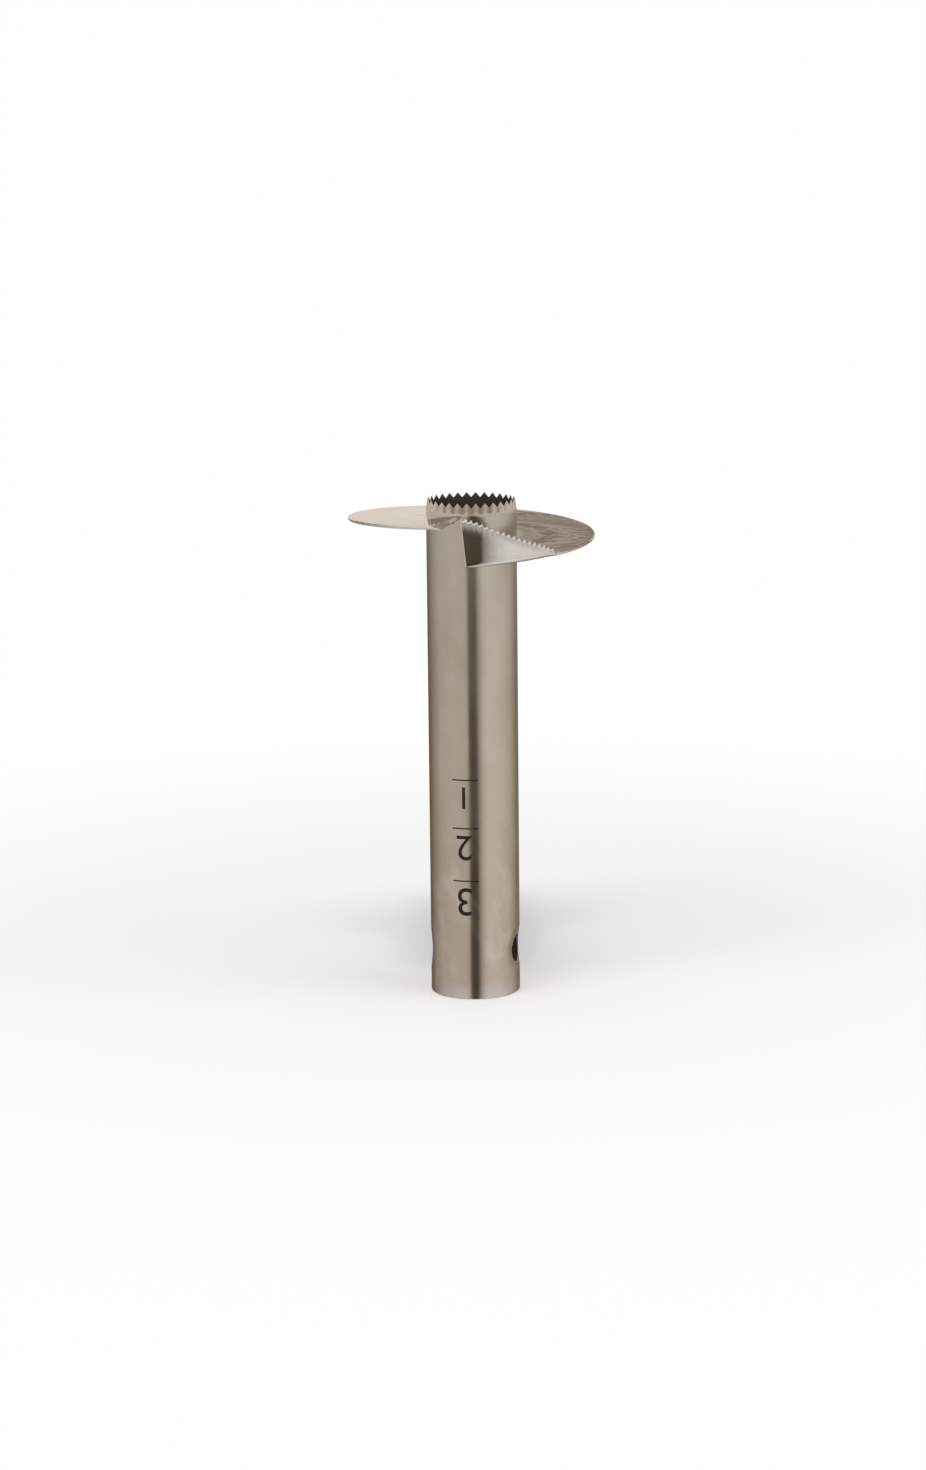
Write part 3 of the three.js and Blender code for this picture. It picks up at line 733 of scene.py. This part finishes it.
mirror_steel, tree, spot = new_finish("mirror_polished_stainless")
ripples = add(tree, "TexNoise", {"Vector": spot, "Scale": 1 / (ripple_size * mm), "Detail": 0.6})
loose = add(tree, "MapRange", {"Value": reach_from_tube(tree, spot), **stiff_span})
ripples = add(tree, "Math", {0: ripples, 1: loose}, operation="MULTIPLY")
wave = add(tree, "Bump", {"Height": ripples, "Distance": ripple_depth * mm})
flecks = add(tree, "TexNoise", {"Vector": spot, "Scale": 1 / (fleck_size * mm)})
uneven_skin(
    tree,
    flecks,
    ("#dfdcd8", "#d9d5d0"),
    dullness=(0.045, 0.075),
    look={"Metallic": 1, "Normal": wave},
    spread=fleck_spread,
)

blade = piece("spiral_blade_steel", blade_shape, mirror_steel, crease=22)
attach(blade, "slicer")
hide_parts("spiral_blade")

# Weld bead: one run of fused steel in the corner under the blade, laid in small overlapping
# ripples round the tube and left unpolished.
weld_leg = 1.6
weld_margin = 6
weld_step = 0.42
weld_rows = 10
weld_taper = 3
bead_pitch = 1.2
bead_share = 0.09

weld_run = blade_turn - 2 * weld_margin
weld_steps = ceil(weld_run / weld_step)
last_row = weld_rows + 2
weld_shape = bmesh.new()
bead = bmesh.ops.create_grid(weld_shape, x_segments=weld_steps, y_segments=last_row, size=1)
for vertex in bead["verts"]:
    along = (vertex.co.x + 1) / 2
    row = round((vertex.co.y + 1) / 2 * last_row)
    angle = blade_start + weld_margin + weld_run * along
    swell = min(1, max(0, min(along, 1 - along) * weld_run / weld_taper)) ** 0.5
    lap = 1 + bead_share * cos(tau * radians(angle) * tube_radius / bead_pitch)
    leg = weld_leg * swell * (lap if 0 < row < last_row else 1)
    bent = pi / 2 * min(1, max(0, (row - 1) / weld_rows))
    inside = row in (0, last_row)
    radius = tube_radius + (0 if inside else leg * cos(bent))
    drop = 0 if inside else leg * sin(bent)
    turn = radians(angle)
    vertex.co = (radius * cos(turn), radius * sin(turn), blade_underside(angle) - drop)
bmesh.ops.remove_doubles(weld_shape, verts=weld_shape.verts, dist=1e-4)
bmesh.ops.recalc_face_normals(weld_shape, faces=weld_shape.faces)
settle(weld_shape, (tube_x, tube_y, 0))

# As-welded stainless: satin grey, with a straw and blue heat tint that drifts along the run.
heat_drift = 9
heat_spread = {"From Min": 0.35, "From Max": 0.65}
bead_steel, tree, spot = new_finish("as_welded_stainless")
drift = add(tree, "TexNoise", {"Vector": spot, "Scale": 1 / (heat_drift * mm)})
uneven_skin(
    tree,
    drift,
    ("#a8a19a", "#8f8375"),
    dullness=(0.3, 0.45),
    look={"Metallic": 1},
    spread=heat_spread,
)

weld = piece("blade_weld_bead", weld_shape, bead_steel, crease=60)
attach(weld, "slicer")
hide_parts("blade_weld")

# Crown shell: one side of the grip, a hollow half moulding that lies on its flattened crown. The
# pad is let into it, and two bosses inside take the grip screws.
grip_length = 112
grip_width = 30
grip_depth = 27
grip_wall = 2.4
parting = 13
parting_gap = 0.3
# each half is made this much too deep, and sawn off at the parting
saw_margin = 1.5
# the crown is cut flat by this much, to lie on
land = 0.6
crown_rise = 5
crown_power = 3
arm_dip = 3.4
dip_share = 0.9
end_power = 3.2
section_power = 2.5
around_grip = 96
along_grip = 96
pad_thickness = 1.5
pad_half = 42
pad_height = 8
pad_corner = 12
pad_gap = 0.3
pad_tool_half = 21
pad_tool_deep = 5
screw_places = (-37, 37)
screw_radius = 1.25
screw_hole = 1.55
crown_hole_floor = 6.5
boss_wall = 1.7
boss_sides = 48
hole_sides = 32
# how far a cutting tool runs past what it cuts
cut_past = 4
shell_grain = 0.42
softening_rounds = 2
plug_low, plug_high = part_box("plug_body")
handle_middle = ((plug_low.x + plug_high.x) / 2, (plug_low.y + plug_high.y) / 2, 0)


def grip_form(inset):
    shape = bmesh.new()
    bmesh.ops.create_uvsphere(shape, u_segments=around_grip, v_segments=along_grip, radius=1)
    for vertex in shape.verts:
        position = max(-1, min(1, vertex.co.z))
        share = abs(position)
        full = (1 - share**end_power) ** (1 / end_power)
        low = crown_rise * share**crown_power - land + inset
        dip = arm_dip * sin(pi * min(1, share / dip_share)) ** 2
        high = grip_depth - dip - inset
        turn = atan2(vertex.co.y, vertex.co.x)
        wide = copysign(abs(cos(turn)) ** (2 / section_power), cos(turn)) * (grip_width / 2 - inset)
        tall = copysign(abs(sin(turn)) ** (2 / section_power), sin(turn)) * (high - low) / 2
        y = position * (grip_length / 2 - inset)
        vertex.co = (wide * full, y, (low + high) / 2 + tall * full)
    bmesh.ops.recalc_face_normals(shape, faces=shape.faces)
    return shape


def trimmed(shape, height, keep_above):
    cut = bmesh.ops.bisect_plane(
        shape,
        geom=shape.verts[:] + shape.edges[:] + shape.faces[:],
        plane_co=(0, 0, height),
        plane_no=(0, 0, 1),
        dist=1e-5,
        clear_inner=keep_above,
        clear_outer=not keep_above,
    )
    rim = [part for part in cut["geom_cut"] if isinstance(part, bmesh.types.BMEdge)]
    bmesh.ops.edgeloop_fill(shape, edges=rim)
    return shape


def block(size_x, size_y, low, high):
    shape = bmesh.new()
    size = Matrix.Diagonal((size_x, size_y, high - low, 1))
    middle = Matrix.Translation((0, 0, (low + high) / 2))
    bmesh.ops.create_cube(shape, size=1, matrix=middle @ size)
    return shape


# a block over the crown, whose ends curve as the pad's do
def pad_tool(grow, top):
    shape = block(2 * pad_tool_half, 2 * pad_half, -pad_tool_deep, top)
    slice_up(shape, range(-pad_tool_half, pad_tool_half + 1))
    for vertex in shape.verts:
        reach = pad_half - pad_corner * (vertex.co.x / grip_width) ** 2 + grow
        vertex.co.y = copysign(reach, vertex.co.y)
    return shape


def screw_rod(radius, y, low, sides):
    return rod(radius, (0, y, low), (0, y, grip_depth + cut_past), sides)


def smooth(shape, verts):
    axes = {"use_axis_x": True, "use_axis_y": True, "use_axis_z": True}
    bmesh.ops.smooth_vert(shape, verts=verts, factor=0.5, **axes)


# rounds every edge a little, as a mould does, by making the shape again from small cubes
def softened(shape, grain):
    blank = set_down("blank", shape)
    remesh = blank.modifiers.new("grain", "REMESH")
    remesh.mode = "VOXEL"
    remesh.voxel_size = grain
    result = bmesh.new()
    result.from_object(blank, bpy.context.evaluated_depsgraph_get())
    bpy.data.objects.remove(blank)
    for _ in range(softening_rounds):
        smooth(result, result.verts)
    return result


recess_floor = pad_thickness + pad_gap
recess = carve(pad_tool(pad_gap, pad_height + pad_gap), grip_form(recess_floor))
floor_back = carve(
    pad_tool(pad_gap + grip_wall, pad_height + grip_wall), grip_form(recess_floor + grip_wall)
)
crown_hollow = carve(grip_form(grip_wall), floor_back)
for y in screw_places:
    boss = screw_rod(screw_radius + boss_wall, y, -cut_past, boss_sides)
    crown_hollow = carve(crown_hollow, boss)
crown = trimmed(trimmed(grip_form(0), parting + saw_margin, False), 0, True)
crown = carve(carve(crown, crown_hollow), recess)
for y in screw_places:
    crown = carve(crown, screw_rod(screw_hole, y, crown_hole_floor, hole_sides))
crown = softened(crown, shell_grain)
sawn = block(2 * grip_width, 2 * grip_length, parting - parting_gap, parting + 2 * saw_margin)
crown = carve(crown, sawn)
settle(crown, handle_middle)

# Injection-moulded black polypropylene: a spark-eroded grain that breaks up its sheen, drawn
# coarser than the real 0.2 mm so that it shows, and a little paler where use has polished it.
grain_size = 0.7
grain_depth = 0.1
polish_size = 22
moulded_black, tree, spot = new_finish("moulded_black_polypropylene")
sparks = add(tree, "TexNoise", {"Vector": spot, "Scale": 1 / (grain_size * mm)})
bump = add(tree, "Bump", {"Height": sparks, "Distance": grain_depth * mm})
polish = add(tree, "TexNoise", {"Vector": spot, "Scale": 1 / (polish_size * mm)})
uneven_skin(tree, polish, ("#191a1d", "#242529"), dullness=(0.42, 0.54), look={"Normal": bump})

crown_moulding = piece("crown_shell_moulding", crown, moulded_black, crease=50)
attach(crown_moulding, "handle")
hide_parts("crown_shell")

# Palm pad: a skin of soft rubber moulded into the crown's recess, with shallow ribs across it. It
# is what the handle lies on here.
pad_grain = 0.4
rib_pitch = 4
rib_depth = 0.3
rib_low = 0.4
rib_high = pad_height - 0.8
rib_fade = 1.2
rib_end = pad_half - 5
rib_end_fade = 3


def faded(distance, width):
    return min(1, max(0, distance / width))


pad_skin = carve(pad_tool(0, pad_height), grip_form(pad_thickness))
pad_skin = carve(pad_skin, trimmed(grip_form(0), 0, True), "INTERSECT")
pad_skin = softened(pad_skin, pad_grain)
for vertex in pad_skin.verts:
    outwards = Vector((vertex.co.x, 0, vertex.co.z - parting)).normalized()
    across = faded(vertex.co.z - rib_low, rib_fade) * faded(rib_high - vertex.co.z, rib_fade)
    ends = faded(rib_end - abs(vertex.co.y), rib_end_fade)
    wave = (1 - cos(tau * vertex.co.y / rib_pitch)) / 2
    vertex.co -= outwards * (rib_depth * wave * across * ends)
settle(pad_skin, handle_middle)

# Soft-touch thermoplastic rubber: matt, a dusty dark grey with a faint sheen at grazing angles.
dust_size = 1.2
dust_depth = 0.05
soft_rubber, tree, spot = new_finish("soft_touch_rubber")
dust = add(tree, "TexNoise", {"Vector": spot, "Scale": 1 / (dust_size * mm), "Detail": 3})
bump = add(tree, "Bump", {"Height": dust, "Strength": 0.4, "Distance": dust_depth * mm})
rubber_look = {"Sheen Weight": 0.15, "Normal": bump}
uneven_skin(tree, dust, ("#37383c", "#424347"), dullness=(0.74, 0.86), look=rubber_look)

pad = piece("palm_pad_rubber", pad_skin, soft_rubber, crease=50)
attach(pad, "handle")
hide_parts("palm_pad")

# Neck shell: the grip's other side, in one moulding with the neck, whose flat top stops the
# tube's end. Each arm dips at its middle, for a firm hold, and has a sunk hole for a grip screw.
shoulder = 34
shoulder_edge = 0.4
band = 3.5
waist = 13
cove = 4.5
cove_steps = 12
neck_foot = 15.4
neck_collar = 20
collar_proud = 0.05
stem_top = 29.5
neck_steps = 120
web_bottom = 25.7
web_top = 28.7
spigot_radius = 11.6
spigot_sides = 96
plug_radius = 15.1
foot_sunk = 1
play = 0.3
head_radius = 2.6
grip_seat = 16.8
fillet_rounds = 40
fillet_inner = waist - 0.8
fillet_reach = 16.5
fillet_low = 22
fillet_high = 28.5
fillet_spread = 6

arm_hollow = grip_form(grip_wall)
for y in screw_places:
    boss = screw_rod(head_radius + boss_wall, y, -cut_past, boss_sides)
    arm_hollow = carve(arm_hollow, boss)
neck = carve(trimmed(grip_form(0), parting - saw_margin, True), arm_hollow)
stem_line = [(0, neck_foot), (waist, neck_foot), (waist, stem_top), (0, stem_top)]
neck = carve(neck, spun(stem_line, neck_steps, closed=False), "UNION")
for y in screw_places:
    neck = carve(neck, screw_rod(head_radius + play, y, grip_seat - play, boss_sides))
    neck = carve(neck, screw_rod(screw_hole, y, -cut_past, hole_sides))
neck = softened(neck, shell_grain)
# the corner between the stem and the arms is smoothed in a ring that shrinks as it goes
for i in range(fillet_rounds):
    spread = fillet_spread * (1 - i / fillet_rounds)
    corner = [
        vertex
        for vertex in neck.verts
        if fillet_inner < vertex.co.xy.length < fillet_reach + spread
        and fillet_low - spread < vertex.co.z < fillet_high
    ]
    smooth(neck, corner)
sawn = block(2 * grip_width, 2 * grip_length, parting - 2 * saw_margin, parting)
neck = carve(neck, sawn)
collar = [(0, neck_collar), (waist + collar_proud, neck_collar)]
for k in range(cove_steps + 1):
    bent = pi / 2 * k / cove_steps
    radius = tube_radius - (tube_radius - waist) * cos(bent)
    collar.append((radius, shoulder - band - cove + cove * sin(bent)))
collar += [
    (tube_radius, shoulder - shoulder_edge),
    (tube_radius - shoulder_edge, shoulder),
    (0, shoulder),
]
neck = carve(neck, spun(collar, neck_steps, closed=False), "UNION")
neck_bore = [
    (0, neck_foot - cut_past),
    (waist - grip_wall, neck_foot - cut_past),
    (waist - grip_wall, web_bottom - grip_wall),
    (spigot_radius - grip_wall, web_bottom),
    (0, web_bottom),
]
neck = carve(neck, spun(neck_bore, neck_steps, closed=False))
past_shoulder = (0, 0, shoulder + cut_past)
neck = carve(neck, rod(spigot_radius + play, (0, 0, web_top), past_shoulder, spigot_sides))
plug_seat = (0, 0, shoulder - foot_sunk)
neck = carve(neck, rod(plug_radius + play, plug_seat, past_shoulder, neck_steps))
settle(neck, handle_middle)

neck_moulding = piece("neck_shell_moulding", neck, moulded_black, crease=50)
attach(neck_moulding, "handle")
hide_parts("neck_shell")

# Plug body: the cup that goes inside the tube, with a spigot below, a middle wall for both
# springs to push on, and a bore each side for a latch button.
plug_bore = 12.6
plug_bottom = 33.3
plug_floor = 36.3
plug_top = 62
plug_edge = 0.35
cap_seat = 59.9
latch_height = 50
button_radius = 4.7
button_sides = 72
flange_radius = 5.9
flange_outer = 10.83
flange_inner = 9.33
press = 2.2
web_half = 1.3
web_rim = 56.6
web_lap = 1
peg_radius = 1.7
peg_reach = 3.5
post_bottom = 53.05
post_hole_floor = 53.4
plug_screw_places = (-6.2, 6.2)
plug_hole_top = 34
# no corner's rounding takes more of an edge than this
corner_share = 0.45


def eased(profile, radius, steps=3):
    line = []
    nexts = profile[1:] + profile[:1]
    for before, point, after in zip(profile[-1:] + profile[:-1], profile, nexts):
        a, b, c = Vector(before), Vector(point), Vector(after)
        if b.x < 1e-6:
            line.append(tuple(b))
            continue
        start = b + (a - b).normalized() * min(radius, (a - b).length * corner_share)
        end = b + (c - b).normalized() * min(radius, (c - b).length * corner_share)
        for k in range(steps + 1):
            t = k / steps
            line.append(tuple(start * (1 - t) ** 2 + b * 2 * t * (1 - t) + end * t * t))
    return line


plug_line = [
    (0, web_top + play),
    (spigot_radius, web_top + play),
    (spigot_radius, plug_bottom),
    (plug_radius, plug_bottom),
    (plug_radius, cap_seat),
    (plug_bore, cap_seat),
    (plug_bore, plug_floor),
    (0, plug_floor),
]
plug_shape = spun(eased(plug_line, plug_edge), neck_steps, closed=False)
web = block(2 * web_half, 2 * (plug_bore + web_lap), plug_floor - web_lap, web_rim)
pegs = rod(peg_radius, (-peg_reach, 0, latch_height), (peg_reach, 0, latch_height), hole_sides)
post = rod(screw_hole + boss_wall, (0, 0, post_bottom), (0, 0, web_rim), boss_sides)
for solid in (web, pegs, post):
    plug_shape = carve(plug_shape, solid, "UNION")
for side in (-1, 1):
    inner_end = (side * (flange_inner - press - play), 0, latch_height)
    outer_end = (side * (plug_radius + cut_past), 0, latch_height)
    bore = rod(button_radius + play, inner_end, outer_end, button_sides)
    plug_shape = carve(plug_shape, bore)
cap_hole = rod(screw_hole, (0, 0, post_hole_floor), (0, 0, plug_top), hole_sides)
plug_shape = carve(plug_shape, cap_hole)
for y in plug_screw_places:
    blind = rod(screw_hole, (0, y, web_top - cut_past), (0, y, plug_hole_top), hole_sides)
    plug_shape = carve(plug_shape, blind)
settle(plug_shape, handle_middle)

plug = piece("plug_body_moulding", plug_shape, moulded_black)
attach(plug, "handle")
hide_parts("plug_body")

# Plug cap: a turned disc with a lead-in chamfer that closes the plug, its skirt inside the plug's
# wall and its screw sunk in the middle.
skirt_low = 57.2
skirt_wall = 1.6
cap_under = 60.2
lead_in = 1.2
cap_head_seat = 58.9
cap_edge = 0.2
cap_line = [
    (screw_hole, skirt_low),
    (head_radius + play + boss_wall, skirt_low),
    (head_radius + play + boss_wall, cap_under),
    (plug_bore - play - skirt_wall, cap_under),
    (plug_bore - play - skirt_wall, skirt_low),
    (plug_bore - play, skirt_low),
    (plug_bore - play, cap_under),
    (plug_radius, cap_under),
    (plug_radius, plug_top - lead_in),
    (plug_radius - lead_in, plug_top),
    (head_radius + play, plug_top),
    (head_radius + play, cap_head_seat),
    (screw_hole, cap_head_seat),
]
cap_shape = spun(eased(cap_line, cap_edge), neck_steps)
settle(cap_shape, handle_middle)

cap = piece("plug_cap_moulding", cap_shape, moulded_black)
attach(cap, "handle")
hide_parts("plug_cap")

# Latch buttons: two domed plungers that snap through the tube's windows. A flange keeps each one
# in the plug, and its spring sits in a bore behind the nose.
button_tip = 16.6
nose_wall = 3
spring_bore = 3.3
dome_height = 0.9
dome_steps = 8
button_edge = 0.15
button_line = [
    (0, button_tip - nose_wall),
    (spring_bore, button_tip - nose_wall),
    (spring_bore, flange_inner),
    (flange_radius, flange_inner),
    (flange_radius, flange_outer),
    (button_radius, flange_outer),
]
for k in range(dome_steps + 1):
    bent = pi / 2 * k / dome_steps
    button_line.append((button_radius * cos(bent), button_tip - dome_height * (1 - sin(bent))))

# Injection-moulded grey acetal: smooth and faintly waxy, scuffed where it rubs in its window.
scuff_size = 1.6
scuff_depth = 0.03
scuff_spread = {"From Min": 0.4, "From Max": 0.75}
moulded_grey, tree, spot = new_finish("moulded_grey_acetal")
scuffs = add(tree, "TexNoise", {"Vector": spot, "Scale": 1 / (scuff_size * mm), "Detail": 3})
bump = add(tree, "Bump", {"Height": scuffs, "Strength": 0.3, "Distance": scuff_depth * mm})
uneven_skin(
    tree,
    scuffs,
    ("#8a8d8f", "#9a9c9d"),
    dullness=(0.32, 0.45),
    look={"Normal": bump},
    spread=scuff_spread,
)

latch_middle = Matrix.Translation((0, 0, latch_height))
latch_ways = {"right": latch_middle, "left": latch_middle @ Matrix.Rotation(pi, 4, "Z")}
for side, latch_way in latch_ways.items():
    button_shape = spun(eased(button_line, button_edge), button_sides, closed=False)
    outwards = latch_way @ Matrix.Rotation(pi / 2, 4, "Y")
    bmesh.ops.transform(button_shape, matrix=outwards, verts=button_shape.verts)
    settle(button_shape, handle_middle)
    button = piece("latch_button_" + side + "_moulding", button_shape, moulded_grey)
    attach(button, "latch_" + side)
    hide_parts("latch_button_" + side)

# Latch springs: plated wire wound in six open turns. Each is held between the plug's middle wall
# and the floor of its button's bore.
spring_radius = 2.45
wire_radius = 0.3
spring_turns = 6
spring_start = 1.6
spring_end = 13.3
wire_sides = 12
turn_steps = 36

# Zinc-plated steel: bright, a touch blue, with the cloudy bloom of the plating.
bloom_size = 1.8
plated, tree, spot = new_finish("zinc_plated_steel")
bloom = add(tree, "TexNoise", {"Vector": spot, "Scale": 1 / (bloom_size * mm), "Detail": 3})
uneven_skin(tree, bloom, ("#c3c6ca", "#b2b5b6"), dullness=(0.24, 0.38), look={"Metallic": 1})

for side, latch_way in latch_ways.items():
    spring_shape = bmesh.new()
    wire = bmesh.ops.create_circle(
        spring_shape,
        cap_ends=False,
        radius=wire_radius,
        segments=wire_sides,
        matrix=Matrix.Translation((spring_start + wire_radius, spring_radius, 0)),
    )["verts"]
    steps = spring_turns * turn_steps
    run = spring_end - spring_start - 2 * wire_radius
    bmesh.ops.spin(
        spring_shape,
        geom=wire + spring_shape.edges[:],
        axis=(1, 0, 0),
        cent=(0, 0, 0),
        dvec=(run / steps, 0, 0),
        angle=tau * spring_turns,
        steps=steps,
    )
    ends = [edge for edge in spring_shape.edges if edge.is_boundary]
    bmesh.ops.edgeloop_fill(spring_shape, edges=ends)
    bmesh.ops.recalc_face_normals(spring_shape, faces=spring_shape.faces)
    bmesh.ops.transform(spring_shape, matrix=latch_way, verts=spring_shape.verts)
    settle(spring_shape, handle_middle)
    spring = piece("latch_spring_" + side + "_wire", spring_shape, plated, crease=60)
    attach(spring, "latch_" + side)
    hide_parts("latch_spring_" + side)
    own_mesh(spring)

# Screws: plated, slotted, cheese-headed. Two hold the grip's halves together, two hold the plug
# up into the neck from below, and one holds the cap.
head_height = 1.8
slot_width = 0.8
slot_depth = 0.9
tip_share = 0.3
tip_length = 1.4
screw_edge = 0.25
screw_sides = 48
neck_seat = web_bottom - play
cap_seat_above = cap_head_seat + play
# where each head sits, how long the screw is, and whether it goes in from below
screws = {
    "grip_screw_1": ((0, screw_places[0], grip_seat), 10, False),
    "grip_screw_2": ((0, screw_places[1], grip_seat), 10, False),
    "plug_screw_1": ((0, plug_screw_places[0], neck_seat), 8, True),
    "plug_screw_2": ((0, plug_screw_places[1], neck_seat), 8, True),
    "cap_screw": ((0, 0, cap_seat_above), 5.5, False),
}
for name, (seat, length, from_below) in screws.items():
    screw_line = [
        (0, -length),
        (screw_radius * tip_share, -length),
        (screw_radius, -length + tip_length),
        (screw_radius, 0),
        (head_radius, 0),
        (head_radius, head_height),
        (0, head_height),
    ]
    screw_shape = spun(eased(screw_line, screw_edge), screw_sides, closed=False)
    slot = block(4 * head_radius, slot_width, head_height - slot_depth, head_height + slot_depth)
    screw_shape = carve(screw_shape, slot)
    tip_over = Matrix.Rotation(pi if from_below else 0, 4, "X")
    seated = Matrix.Translation(seat) @ tip_over
    bmesh.ops.transform(screw_shape, matrix=seated, verts=screw_shape.verts)
    settle(screw_shape, handle_middle)
    screw = piece(name + "_plated", screw_shape, plated)
    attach(screw, "handle")
    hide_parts(name)
